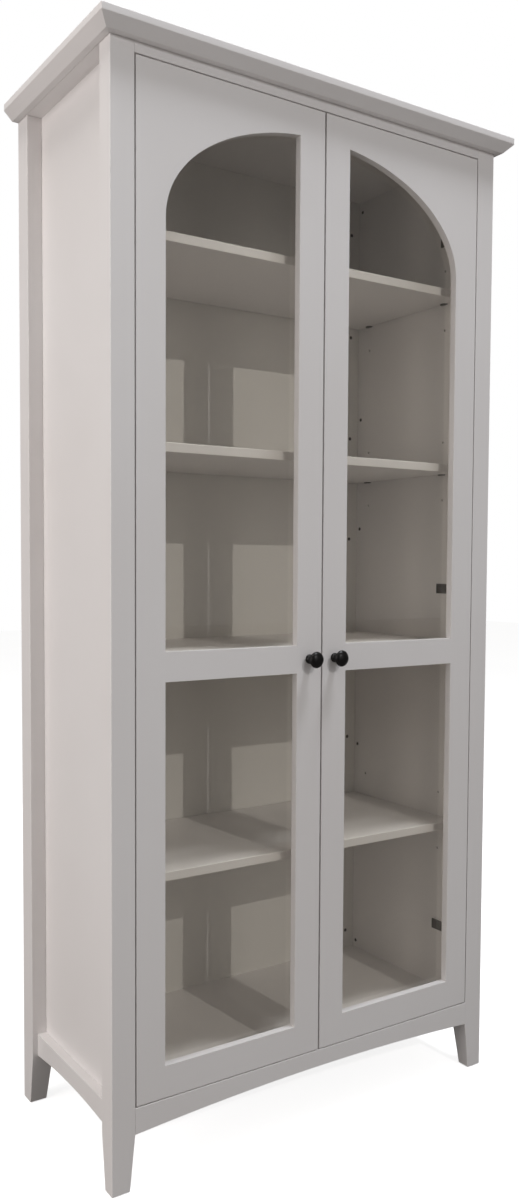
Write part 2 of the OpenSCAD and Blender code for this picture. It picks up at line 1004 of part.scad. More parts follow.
upper_bead(LEFT);  // left_upper_bead
lower_bead(LEFT);  // left_lower_bead
knob(LEFT);  // left_knob
hinge_cups(LEFT);  // left_hinge_cups
door_screws(LEFT);  // left_door_screws
outer_stile(RIGHT);  // right_outer_stile
inner_stile(RIGHT);  // right_inner_stile
top_rail(RIGHT);  // right_top_rail
mid_rail(RIGHT);  // right_mid_rail
bottom_rail(RIGHT);  // right_bottom_rail
upper_glass(RIGHT);  // right_upper_glass
lower_glass(RIGHT);  // right_lower_glass
upper_bead(RIGHT);  // right_upper_bead
lower_bead(RIGHT);  // right_lower_bead
knob(RIGHT);  // right_knob
hinge_cups(RIGHT);  // right_hinge_cups
door_screws(RIGHT);  // right_door_screws
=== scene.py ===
# %% [markdown]
# # A tall glazed bookcase
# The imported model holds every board, pane and fitting at its true size. This lesson dresses it: it rounds
# the arrises, turns the knobs, presses the hinge steel, cuts the screws' cross slots, and gives each finish
# its own paint, glass or metal. Sizes are in metres, X runs across the front, Y from front to back, Z up.

# %% Setting up
import json
from math import cos, pi, radians, sin

import bmesh
import bpy
from mathutils import Matrix, Vector

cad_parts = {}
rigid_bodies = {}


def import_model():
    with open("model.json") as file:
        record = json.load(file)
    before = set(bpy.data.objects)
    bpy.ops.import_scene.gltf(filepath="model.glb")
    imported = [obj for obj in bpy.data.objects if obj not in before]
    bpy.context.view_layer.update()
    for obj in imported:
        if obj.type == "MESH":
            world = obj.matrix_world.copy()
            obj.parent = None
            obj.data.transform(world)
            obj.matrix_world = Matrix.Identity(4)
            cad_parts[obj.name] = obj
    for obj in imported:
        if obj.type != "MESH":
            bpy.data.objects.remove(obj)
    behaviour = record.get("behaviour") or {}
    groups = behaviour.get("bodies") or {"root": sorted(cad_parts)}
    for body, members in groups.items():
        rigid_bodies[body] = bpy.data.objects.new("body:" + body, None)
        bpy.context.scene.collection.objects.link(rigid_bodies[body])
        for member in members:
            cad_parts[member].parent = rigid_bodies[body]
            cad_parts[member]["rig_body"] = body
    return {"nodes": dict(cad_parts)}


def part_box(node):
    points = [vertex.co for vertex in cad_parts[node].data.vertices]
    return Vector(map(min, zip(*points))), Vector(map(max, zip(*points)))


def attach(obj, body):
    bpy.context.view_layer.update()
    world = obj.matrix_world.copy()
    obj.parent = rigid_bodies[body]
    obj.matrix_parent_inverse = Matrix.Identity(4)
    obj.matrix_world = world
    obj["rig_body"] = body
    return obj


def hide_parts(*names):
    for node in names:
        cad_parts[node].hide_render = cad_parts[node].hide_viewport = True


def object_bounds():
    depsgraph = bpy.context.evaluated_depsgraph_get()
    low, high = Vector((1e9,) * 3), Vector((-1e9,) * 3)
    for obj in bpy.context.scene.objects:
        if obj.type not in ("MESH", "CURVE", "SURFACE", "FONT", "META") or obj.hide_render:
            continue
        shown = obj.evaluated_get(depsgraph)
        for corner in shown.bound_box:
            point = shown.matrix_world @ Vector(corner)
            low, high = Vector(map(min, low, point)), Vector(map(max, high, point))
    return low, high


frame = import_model()
cad_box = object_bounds()
SIDES = {"left": -1, "right": 1}
MM = 0.001
print("nodes in the frame:", len(frame["nodes"]))

# %% [markdown]
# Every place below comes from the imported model. The planes of a door are read from its stiles, its middle
# rail and its glass, so a changed door would carry its knobs and hinges with it. Both doors are alike, so
# the right one is measured, and its distances from the middle of the cabinet serve for both.

# %% Planes that the pieces share
cabinet_height = cad_box[1].z
outer_stile_low, outer_stile_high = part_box("right_outer_stile")
mid_rail_low, mid_rail_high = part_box("right_mid_rail")
glass_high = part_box("right_upper_glass")[1]
stile_in_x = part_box("right_inner_stile")[1].x
stile_out_x = outer_stile_low.x
door_back_y = outer_stile_high.y
print("door back", round(door_back_y, 4), "opening", round(stile_in_x, 4), "to", round(stile_out_x, 4))

# %% [markdown]
# A material is a small tree of nodes. These helpers start one, add a node with its settings, and join two
# sockets, so that each finish below reads as a recipe. Patterns use Object coordinates, which are metres on
# this model, so a noise scale of 400 means grains of about 2.5 mm.

# %% Helpers for materials
def new_material(name):
    """A material with a Principled shader, and its node tree."""
    material = bpy.data.materials.new(name)
    material.use_nodes = True
    return material, material.node_tree, material.node_tree.nodes["Principled BSDF"]


def add_node(tree, kind, settings=None, **inputs):
    """A node of that kind; settings are its properties, and inputs its sockets' values by name."""
    node = tree.nodes.new(kind)
    for key, value in (settings or {}).items():
        setattr(node, key, value)
    for key, value in inputs.items():
        node.inputs[key.replace("_", " ")].default_value = value
    return node


def object_space(tree, stretch=(1, 1, 1)):
    """Object coordinates, scaled along each axis, for a pattern that runs one way."""
    where = add_node(tree, "ShaderNodeTexCoord")
    turn = add_node(tree, "ShaderNodeMapping", Scale=stretch)
    tree.links.new(where.outputs["Object"], turn.inputs["Vector"])
    return turn.outputs["Vector"]


def noise(tree, vector, scale, detail=3.0, roughness=0.5):
    """A noise pattern's strength, read at vector."""
    node = add_node(tree, "ShaderNodeTexNoise", Scale=scale, Detail=detail, Roughness=roughness)
    tree.links.new(vector, node.inputs["Vector"])
    return node.outputs["Fac"]


def spread(tree, value, low, high, start=0.3, stop=0.7):
    """value, from start to stop, spread to run from low to high."""
    node = add_node(tree, "ShaderNodeMapRange")
    node.inputs["From Min"].default_value = start
    node.inputs["From Max"].default_value = stop
    node.inputs["To Min"].default_value = low
    node.inputs["To Max"].default_value = high
    tree.links.new(value, node.inputs["Value"])
    return node.outputs["Result"]


def two_tones(tree, value, dark, light, start=0.3, stop=0.7):
    """A colour between dark and light, by value."""
    node = add_node(tree, "ShaderNodeValToRGB")
    node.color_ramp.elements[0].position = start
    node.color_ramp.elements[0].color = (*dark, 1)
    node.color_ramp.elements[1].position = stop
    node.color_ramp.elements[1].color = (*light, 1)
    tree.links.new(value, node.inputs["Fac"])
    return node.outputs["Color"]


def bump(tree, shader, heights, distance):
    """Bumps from a list of (height, strength) pairs, one on top of the other."""
    normal = None
    for height, strength in heights:
        node = add_node(tree, "ShaderNodeBump", Strength=strength, Distance=distance)
        tree.links.new(height, node.inputs["Height"])
        if normal is not None:
            tree.links.new(normal, node.inputs["Normal"])
        normal = node.outputs["Normal"]
    tree.links.new(normal, shader.inputs["Normal"])


# %% [markdown]
# ## The paint
# The woodwork is sprayed with a satin white lacquer. Sprayed lacquer isn't dead flat: it has a fine
# orange-peel skin about 2 mm across, the grain below still shows as long shallow ripples, and the coat is a
# touch thicker in some places, which changes its tone and gloss a little. The grain runs along each board,
# so there are three paints that differ only in the direction of their ripples. The thin back board has no
# grain to show and a slightly duller coat; its darker, warmer white is painted shade, standing in for the
# warm shade inside the cabinet.

# %% Satin lacquer
GRAIN = {"upright": (260, 260, 9), "across": (9, 260, 260), "deep": (260, 9, 260)}


def lacquer(name, stretch, dark, light, gloss):
    material, tree, shader = new_material(name)
    plain = object_space(tree)
    grain = noise(tree, object_space(tree, stretch), 1.0, 4.0, 0.6)
    clouds = noise(tree, plain, 2.2, 3.0)
    peel = noise(tree, plain, 520.0, 2.0)
    tree.links.new(two_tones(tree, clouds, dark, light), shader.inputs["Base Color"])
    sheen = spread(tree, noise(tree, plain, 14.0), gloss - 0.05, gloss + 0.06)
    tree.links.new(sheen, shader.inputs["Roughness"])
    bump(tree, shader, [(grain, 0.16), (peel, 0.10)], 0.4 * MM)
    shader.inputs["IOR"].default_value = 1.5
    shader.inputs["Specular IOR Level"].default_value = 0.5
    return material


WHITE = {"dark": (0.84, 0.812, 0.802), "light": (0.868, 0.846, 0.84), "gloss": 0.42}
# Painted shade: the back board's white is darker and warmer than the rest, standing in for the warm shade
# inside the cabinet; only its higher roughness is a truly duller coat.
DULL_WHITE_PAINTED_SHADE = {"dark": (0.79, 0.77, 0.74), "light": (0.83, 0.81, 0.785), "gloss": 0.5}
PAINT = {way: lacquer(f"satin_white_{way}", stretch, **WHITE) for way, stretch in GRAIN.items()}
PAINT["back"] = lacquer("satin_white_thin_board", (40, 40, 40), **DULL_WHITE_PAINTED_SHADE)
print("paints:", sorted(PAINT))

# %% [markdown]
# ## Glass
# The panes are 3 mm clear float glass. Real glass bends and mirrors light, and it also lets a lamp shine
# straight through. A path tracer stops shadow rays at glass, so the inside would go dark. The Light Path
# node swaps in a transparent shader for those rays, and for rays that left a matt surface: otherwise a lamp
# would be met twice through the same pane, and the shelves would come out brighter than the doors.

# %% Clear glass
# The tint is warmer than clear glass: besides the panes' own faint colour, it is painted warm light on
# everything seen and lit through them inside the cabinet.
GLASS_TINT_AND_WARM_LIGHT = (0.985, 0.972, 0.940, 1)


def clear_glass():
    material, tree, shader = new_material("clear_glass")
    shader.inputs["Base Color"].default_value = GLASS_TINT_AND_WARM_LIGHT
    shader.inputs["Roughness"].default_value = 0.0
    shader.inputs["IOR"].default_value = 1.5
    shader.inputs["Transmission Weight"].default_value = 1.0
    path = add_node(tree, "ShaderNodeLightPath")
    open_shader = add_node(tree, "ShaderNodeBsdfTransparent", Color=GLASS_TINT_AND_WARM_LIGHT)
    surface = shader.outputs["BSDF"]
    for ray in ("Is Shadow Ray", "Is Diffuse Ray"):
        mix = add_node(tree, "ShaderNodeMixShader")
        tree.links.new(path.outputs[ray], mix.inputs["Fac"])
        tree.links.new(surface, mix.inputs[1])
        tree.links.new(open_shader.outputs["BSDF"], mix.inputs[2])
        surface = mix.outputs["Shader"]
    tree.links.new(surface, tree.nodes["Material Output"].inputs["Surface"])
    return material


GLASS = clear_glass()

# %% [markdown]
# ## Metals, lacquer on the knobs, beech and nylon
# The hinges, shelf pins and screws are nickel plated and dark. The wall bracket and the hidden screws are
# zinc. Plated steel shows fine rolling lines and small changes of gloss. The knobs are cast metal under
# black satin enamel, with a faint pebble from the powder coat.

# %% Metals and small finishes
def metal(name, dark, light, gloss):
    material, tree, shader = new_material(name)
    lines = noise(tree, object_space(tree, (900, 900, 60)), 1.0, 3.0)
    spots = noise(tree, object_space(tree), 90.0, 3.0)
    tree.links.new(two_tones(tree, spots, dark, light), shader.inputs["Base Color"])
    tree.links.new(spread(tree, lines, gloss - 0.07, gloss + 0.09), shader.inputs["Roughness"])
    bump(tree, shader, [(lines, 0.12)], 0.2 * MM)
    shader.inputs["Metallic"].default_value = 1.0
    return material


def enamel():
    material, tree, shader = new_material("black_enamel")
    plain = object_space(tree)
    pebble = noise(tree, plain, 900.0, 2.0)
    tone = two_tones(tree, noise(tree, plain, 120.0), (0.003, 0.0025, 0.0025), (0.006, 0.005, 0.005))
    tree.links.new(tone, shader.inputs["Base Color"])
    tree.links.new(spread(tree, noise(tree, plain, 160.0), 0.30, 0.40), shader.inputs["Roughness"])
    bump(tree, shader, [(pebble, 0.2)], 0.2 * MM)
    shader.inputs["Specular IOR Level"].default_value = 0.3
    return material


def beech():
    material, tree, shader = new_material("bare_beech")
    grain = noise(tree, object_space(tree, (60, 900, 900)), 1.0, 5.0, 0.6)
    tone = two_tones(tree, grain, (0.50, 0.34, 0.19), (0.70, 0.53, 0.35))
    tree.links.new(tone, shader.inputs["Base Color"])
    tree.links.new(spread(tree, grain, 0.7, 0.55), shader.inputs["Roughness"])
    bump(tree, shader, [(grain, 0.4)], 0.3 * MM)
    return material


def nylon():
    material, tree, shader = new_material("grey_nylon")
    skin = noise(tree, object_space(tree), 1400.0, 2.0)
    tone = two_tones(tree, noise(tree, object_space(tree), 60.0), (0.34, 0.34, 0.33), (0.42, 0.42, 0.41))
    tree.links.new(tone, shader.inputs["Base Color"])
    tree.links.new(spread(tree, skin, 0.5, 0.62), shader.inputs["Roughness"])
    bump(tree, shader, [(skin, 0.25)], 0.2 * MM)
    return material


DARK_NICKEL = metal("dark_nickel", (0.075, 0.070, 0.062), (0.135, 0.125, 0.115), 0.36)
ZINC = metal("zinc_plate", (0.50, 0.50, 0.49), (0.66, 0.66, 0.64), 0.34)
ENAMEL = enamel()
BEECH = beech()
NYLON = nylon()
print("materials:", len(bpy.data.materials))

# %% [markdown]
# ## Camera, light and floor
# The cabinet is seen from its left, a little over half way up, from about two metres. A small, crisp key
# light stands in front of it and above. It throws the stiles' shadows on the back panel, with a slit of
# light through the gap between the doors. A cool light overhead and a weaker one over the left side brighten
# every ledge. Two wide soft lights brighten the front and the side panel, and a dim sky fills the rest.

# %% Camera
def camera_frame(place, yaw, pitch, roll):
    """The camera's place and turn: yaw to the right of +Y, pitch above the level, roll about the view."""
    forward = Vector((sin(yaw) * cos(pitch), cos(yaw) * cos(pitch), sin(pitch)))
    level = Vector((cos(yaw), -sin(yaw), 0))
    upright = level.cross(forward)
    right = level * cos(roll) + upright * sin(roll)
    up = upright * cos(roll) - level * sin(roll)
    turn = Matrix((right, up, -forward)).transposed()
    return Matrix.Translation(place) @ turn.to_4x4()


camera_data = bpy.data.cameras.new("camera")
camera_data.sensor_width = 36.0
camera_data.lens = 30.27
camera_data.shift_x = 0.0377
camera_data.shift_y = 0.0141
camera_place = Vector((-1.153, -1.627, 1.041))
yaw, pitch, roll = radians(32.385), radians(-2.82), radians(0.172)
camera = bpy.data.objects.new("camera", camera_data)
camera.matrix_world = camera_frame(camera_place, yaw, pitch, roll)
bpy.context.scene.collection.objects.link(camera)
bpy.context.scene.camera = camera
print("camera height:", round(camera.location.z, 3))

# %% Lights
def area_light(name, place, target, size, power, colour):
    """A rectangular light at place that faces target, with its power in watts."""
    data = bpy.data.lights.new(name, "AREA")
    data.shape = "RECTANGLE"
    data.size, data.size_y = size
    data.energy = power
    data.color = colour
    light = bpy.data.objects.new(name, data)
    light.location = place
    light.rotation_euler = (Vector(target) - Vector(place)).to_track_quat("-Z", "Y").to_euler()
    bpy.context.scene.collection.objects.link(light)


middle = Vector((0, 0, cabinet_height / 2))
area_light("key", (0.26, -4.6, 3.3), middle, (0.03, 0.03), 38, (1.0, 0.985, 0.98))
area_light("ceiling", (0.9, -1.1, 5.0), (0.1, -0.5, 0), (1.0, 0.7), 92, (0.92, 0.95, 1.0))
area_light("front_fill", (0.3, -3.6, 1.5), middle, (1.4, 2.0), 7, (1.0, 0.985, 0.99))
area_light("ceiling_left", (-1.5, -0.2, 4.2), (-0.5, -0.1, 0.2), (0.7, 1.0), 30, (1.0, 0.985, 0.97))
area_light("side_fill", (-3.4, -0.2, 1.5), middle, (2.2, 2.6), 56, (1.0, 0.945, 0.92))

world = bpy.data.worlds.new("studio")
world.use_nodes = True
bpy.context.scene.world = world
sky = world.node_tree
lit = sky.nodes["Background"]
lit.inputs["Color"].default_value = (1.0, 0.985, 0.965, 1)
lit.inputs["Strength"].default_value = 0.185
seen = add_node(sky, "ShaderNodeBackground", Color=(1, 1, 1, 1), Strength=1.0)
path = add_node(sky, "ShaderNodeLightPath")
mix = add_node(sky, "ShaderNodeMixShader")
sky.links.new(path.outputs["Is Camera Ray"], mix.inputs["Fac"])
sky.links.new(lit.outputs["Background"], mix.inputs[1])
sky.links.new(seen.outputs["Background"], mix.inputs[2])
sky.links.new(mix.outputs["Shader"], sky.nodes["World Output"].inputs["Surface"])
bpy.context.scene.view_settings.view_transform = "Standard"

# %% Floor
def pale_floor():
    material, tree, shader = new_material("pale_floor")
    tone = two_tones(tree, noise(tree, object_space(tree), 1.2), (0.86, 0.86, 0.86), (0.9, 0.9, 0.9))
    tree.links.new(tone, shader.inputs["Base Color"])
    shader.inputs["Roughness"].default_value = 0.85
    shader.inputs["Emission Color"].default_value = (1, 1, 1, 1)
    shader.inputs["Emission Strength"].default_value = 0.8
    matt = add_node(tree, "ShaderNodeBsdfDiffuse", Color=(0.24, 0.23, 0.22, 1))
    path = add_node(tree, "ShaderNodeLightPath")
    mix = add_node(tree, "ShaderNodeMixShader")
    tree.links.new(path.outputs["Is Camera Ray"], mix.inputs["Fac"])
    tree.links.new(matt.outputs["BSDF"], mix.inputs[1])
    tree.links.new(shader.outputs["BSDF"], mix.inputs[2])
    tree.links.new(mix.outputs["Shader"], tree.nodes["Material Output"].inputs["Surface"])
    return material


FLOOR_REACH = 14
floor_mesh = bpy.data.meshes.new("floor")
bm = bmesh.new()
bmesh.ops.create_grid(bm, x_segments=1, y_segments=1, size=FLOOR_REACH)
bm.to_mesh(floor_mesh)
bm.free()
floor = bpy.data.objects.new("floor", floor_mesh)
floor_mesh.materials.append(pale_floor())
bpy.context.scene.collection.objects.link(floor)

# %% [markdown]
# ## Finishing a piece
# Every new piece goes through the same last steps: the mesh is made from the bmesh, its curved faces are
# shaded smooth up to its sharp edges, it gets its material, and it rides on its body of the frame. Smooth
# shading alone would bleed from a narrow rounding into the broad face beside it, and a crisp board would
# look melted. The Weighted Normal modifier lets the larger face decide, so boards stay flat to their edges.
# A part that needs no new mesh, such as a pane, keeps its CAD node and only gets its material.

# %% Helpers that finish a piece
def finish_piece(bm, name, material, body, nodes, smooth_below=32):
    """Makes the piece from bm, which is used up; it takes the place of the named nodes."""
    mesh = bpy.data.meshes.new(name)
    bm.to_mesh(mesh)
    bm.free()
    mesh.polygons.foreach_set("use_smooth", [True] * len(mesh.polygons))
    mesh.set_sharp_from_angle(angle=radians(smooth_below))
    mesh.materials.append(material)
    piece = bpy.data.objects.new(name, mesh)
    bpy.context.scene.collection.objects.link(piece)
    flatten = piece.modifiers.new("broad faces stay flat", "WEIGHTED_NORMAL")
    flatten.weight = 100
    flatten.keep_sharp = True
    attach(piece, body)
    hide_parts(*nodes)
    return piece


def body_of(node):
    """The body that a CAD node belongs to."""
    return frame["nodes"][node]["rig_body"]


def repaint(node, material):
    """Gives a CAD node that is kept as it is its own finish."""
    slots = frame["nodes"][node].data.materials
    slots.clear()
    slots.append(material)


# %% [markdown]
# ## Easing the arrises
# No painted board has a knife edge: the maker runs sandpaper along each arris before spraying, and the
# rounding catches a thin line of light. A CAD node is made of loose triangles, so a copy is merged, its
# flat faces are joined again, and only then are the long sharp edges bevelled. Edges that meet another
# board flush are left square, so that a painted joint stays closed.

# %% Helpers that ease a board
SAME_POINT = 0.02 * MM
SAME_PLANE = radians(0.5)
HARD_EDGE = radians(40)


def merged(node):
    """A bmesh of a CAD node, with its loose triangles merged at their corners."""
    bm = bmesh.new()
    bm.from_mesh(frame["nodes"][node].data)
    bmesh.ops.remove_doubles(bm, verts=bm.verts, dist=SAME_POINT)
    return bm


def join_flat_faces(bm):
    bmesh.ops.dissolve_limit(bm, angle_limit=SAME_PLANE, verts=bm.verts, edges=bm.edges)


def bevel(bm, edges, offset, segments):
    """Rounds edges; every rounding in this lesson has the same settings but for its size."""
    bmesh.ops.bevel(bm, geom=edges, offset=offset, offset_type="OFFSET", segments=segments, profile=0.5,
                    affect="EDGES", clamp_overlap=True, material=-1)


def eased(node, radius, skip=None, cuts=(), segments=3, least=5 * MM):
    """A bmesh of a CAD node with its outer edges rounded; edges shorter than least stay as they are.

    skip is a test that leaves an edge out. Each cut is a (point, normal) plane that splits the edges."""
    bm = merged(node)
    join_flat_faces(bm)
    for point, normal in cuts:
        whole = bm.verts[:] + bm.edges[:] + bm.faces[:]
        bmesh.ops.bisect_plane(bm, geom=whole, plane_co=point, plane_no=normal, dist=0.01 * MM)
    outer = [
        edge for edge in bm.edges
        if edge.is_manifold and edge.is_convex and edge.calc_face_angle(0) > HARD_EDGE
        and edge.calc_length() > least and not (skip and skip(edge))
    ]
    bevel(bm, outer, radius, segments)
    return bm


def middle_of(edge):
    return (edge.verts[0].co + edge.verts[1].co) / 2


def runs_along(edge, axis):
    """True where an edge runs along one axis: 0 for X, 1 for Y, 2 for Z."""
    line = edge.verts[1].co - edge.verts[0].co
    return abs(line[axis]) > 0.99 * line.length


def eased_piece(node, material, radius, slot="painted_wood", **options):
    """An eased copy of a CAD node that takes its place."""
    bm = eased(node, radius, **options)
    return finish_piece(bm, f"{node}_finished", material, body_of(node), [node])


# %% [markdown]
# ## Posts, rails and cornice
# The four posts run the full height and taper at the feet. The apron and the side rails butt against them,
# so their ends stay square and only their long edges are eased.

# %% Posts and rails
BOARD_RADIUS = 1.0 * MM
POST_RADIUS = 1.1 * MM
LONG_EDGE = 20 * MM


def at_its_ends(node, axis):
    """A test that is true for the edges in a board's two end faces."""
    low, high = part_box(node)
    near = 0.3 * MM

    def ends(edge):
        where = middle_of(edge)[axis]
        flat = abs(edge.verts[0].co[axis] - edge.verts[1].co[axis]) < 0.1 * MM
        return flat and (where < low[axis] + near or where > high[axis] - near)

    return ends


for side in SIDES:
    for post in (f"front_post_{side}", f"rear_post_{side}"):
        eased_piece(post, PAINT["upright"], POST_RADIUS, least=LONG_EDGE)
    rail = f"side_rail_{side}"
    eased_piece(rail, PAINT["deep"], BOARD_RADIUS, skip=at_its_ends(rail, 1))
for rail in ("apron_front", "top_rail_front", "top_rail_rear", "bottom_rail_rear"):
    eased_piece(rail, PAINT["across"], BOARD_RADIUS, skip=at_its_ends(rail, 0))
for side in SIDES:
    cleat = f"back_cleat_{side}"
    eased_piece(cleat, PAINT["upright"], BOARD_RADIUS, skip=at_its_ends(cleat, 2), least=LONG_EDGE)
print("posts and rails done")

# %% [markdown]
# The cornice is a flat board on a bevelled moulding that runs round three sides. Its mitres are glued and
# painted over, so their edges stay square. The board's arrises are eased a little more than elsewhere.

# %% Cornice
def mitre(edge):
    """True on the slanting edges where two mouldings meet."""
    line = (edge.verts[1].co - edge.verts[0].co).normalized()
    return abs(line.x) > 0.2 and abs(line.y) > 0.2


CORNICE_RADIUS = 1.6 * MM
eased_piece("cornice_board", PAINT["across"], CORNICE_RADIUS)
for moulding, grain in (("cornice_front", "across"), ("cornice_left", "deep"), ("cornice_right", "deep")):
    under_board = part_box(moulding)[1].z - 0.2 * MM
    eased_piece(moulding, PAINT[grain], BOARD_RADIUS,
                skip=lambda edge: mitre(edge) or middle_of(edge).z > under_board)
print("cornice done")

# %% [markdown]
# ## Panels and shelves
# The side panels keep their CAD shape with its rows of pin holes. The shelves have a banded front edge with
# a soft radius, which draws the bright line seen through the glass.

# %% Panels and shelves
SHELF_RADIUS = 1.3 * MM
for side in SIDES:
    repaint(f"side_panel_{side}", PAINT["upright"])
for shelf in ("shelf_upper", "shelf_middle", "shelf_lower"):
    eased_piece(shelf, PAINT["across"], SHELF_RADIUS)
eased_piece("shelf_fixed", PAINT["across"], SHELF_RADIUS, least=60 * MM, skip=at_its_ends("shelf_fixed", 0))
for panel in ("floor_panel", "ceiling_panel"):
    repaint(panel, PAINT["across"])
for panel in ("back_panel_upper", "back_panel_lower"):
    repaint(panel, PAINT["back"])
print("panels and shelves done")

# %% [markdown]
# ## Door frames
# Stiles run the full height of a door, and the rails are tenoned between them and painted over, so no joint
# shows on the face. The edge of each opening is rounded by a little over 1 mm. The stile's long inner edge
# is split where the rails meet it, and only the stretches beside the glass are rounded. The arch is half an
# ellipse shared by both doors, and its crown is worked out from the top of the glass behind it.

# %% Where the rails and the arch meet the stiles
bottom_rail_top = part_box("right_bottom_rail")[1].z
top_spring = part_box("right_top_rail")[0].z
# The glass reaches past the opening by the same lip at its side and at its crown.
lip = glass_high.x - stile_out_x
glass_reach = 1 - ((stile_in_x - lip) / (stile_out_x + lip)) ** 2
crown_of_arch = top_spring + (glass_high.z - top_spring) / glass_reach ** 0.5 - lip
arch_at_meeting = top_spring + (crown_of_arch - top_spring) * (1 - (stile_in_x / stile_out_x) ** 2) ** 0.5
split_heights = [bottom_rail_top, mid_rail_low.z, mid_rail_high.z, top_spring]
print("arch crown", round(crown_of_arch, 4), "at the meeting stile", round(arch_at_meeting, 4))

# %% Door frames
OPENING_RADIUS = 1.3 * MM
BEAD_RADIUS = 0.8 * MM
ON_THE_EDGE = 0.2 * MM


def beside_a_rail(edge):
    """True on a stile's inner edge where a rail butts against it, so the joint stays closed."""
    where = middle_of(edge)
    at_outer_stile = abs(abs(where.x) - stile_out_x) < ON_THE_EDGE
    at_meeting_stile = abs(abs(where.x) - stile_in_x) < ON_THE_EDGE
    beside_lower_pane = bottom_rail_top < where.z < mid_rail_low.z
    beside_upper_pane = mid_rail_high.z < where.z < (arch_at_meeting if at_meeting_stile else top_spring)
    return (at_outer_stile or at_meeting_stile) and not (beside_lower_pane or beside_upper_pane)


def rail_end(edge):
    """True on the shoulders and tenons at a rail's ends, which lie beyond the opening."""
    return all(
        abs(vertex.co.x) < stile_in_x + ON_THE_EDGE or abs(vertex.co.x) > stile_out_x - ON_THE_EDGE
        for vertex in edge.verts
    )


stile_cuts = [(Vector((0, 0, z)), Vector((0, 0, 1))) for z in split_heights + [arch_at_meeting]]
for side in SIDES:
    for stile in ("outer_stile", "inner_stile"):
        eased_piece(f"{side}_{stile}", PAINT["upright"], OPENING_RADIUS, skip=beside_a_rail, cuts=stile_cuts,
                    least=30 * MM)
    for rail in ("top_rail", "mid_rail", "bottom_rail"):
        eased_piece(f"{side}_{rail}", PAINT["across"], OPENING_RADIUS, skip=rail_end, least=2 * MM)
print("door frames done")
for side in SIDES:
    for pane in ("upper_glass", "lower_glass"):
        repaint(f"{side}_{pane}", GLASS)
    for bead in ("upper_bead", "lower_bead"):
        eased_piece(f"{side}_{bead}", PAINT["upright"], BEAD_RADIUS, least=2 * MM)

# %% [markdown]
# ## Finding where the fittings go
# One node of the frame holds all the pieces of a kind, such as twelve hinge screws. Walking from point to
# point along the edges sorts them out again, so each new fitting can stand exactly where its solid is. A
# screw's head is its wide end, which is also the end nearer to the mean of its points.

# %% Helpers that find the separate solids of a node
def solids_of(node):
    """The points of each separate solid in a CAD node."""
    bm = merged(node)
    seen = set()
    solids = []
    for first in bm.verts:
        if first in seen:
            continue
        seen.add(first)
        solid = [first]
        for vertex in solid:
            for edge in vertex.link_edges:
                other = edge.other_vert(vertex)
                if other not in seen:
                    seen.add(other)
                    solid.append(other)
        solids.append([vertex.co.copy() for vertex in solid])
    bm.free()
    return solids


def corners(points):
    """The lowest and highest corners of a cloud of points."""
    return (
        Vector([min(point[i] for point in points) for i in range(3)]),
        Vector([max(point[i] for point in points) for i in range(3)]),
    )


def stamp(bm, pattern, place):
    """Adds a copy of a pattern's mesh to bm, moved by the matrix place."""
    before = set(bm.verts)
    bm.from_mesh(pattern)
    new = [vertex for vertex in bm.verts if vertex not in before]
    bmesh.ops.transform(bm, matrix=place, verts=new)


def pattern_mesh(bm, name):
    """Closes a pattern: turns its faces outwards and stores it as a mesh to stamp."""
    bmesh.ops.recalc_face_normals(bm, faces=bm.faces)
    mesh = bpy.data.meshes.new(name)
    bm.to_mesh(mesh)
    bm.free()
    return mesh


def facing(point, outward):
    """The matrix that stands a pattern at a point, with its +Z turned outward."""
    return Matrix.Translation(point) @ outward.to_track_quat("Z", "Y").to_matrix().to_4x4()


print("hinge screws:", len(solids_of("hinge_screws")))

# %% [markdown]
# ## Cross-head screws
# Every screw is a countersunk wood screw with a cross recess. Its face could be cut by a boolean, but a
# small grid does it more cleanly: nine squares without their four corners are already a cross. The cross is
# bridged to the round rim, pushed in and narrowed to make the recess, and the rim is drawn down into the
# cone and the shank.

# %% Screws
CROSS_SHARE = 0.52
CROSS_ARM = 0.8
RECESS_DEPTH = 0.6
RECESS_FLOOR = 0.55
RIM_SHARE = 0.12


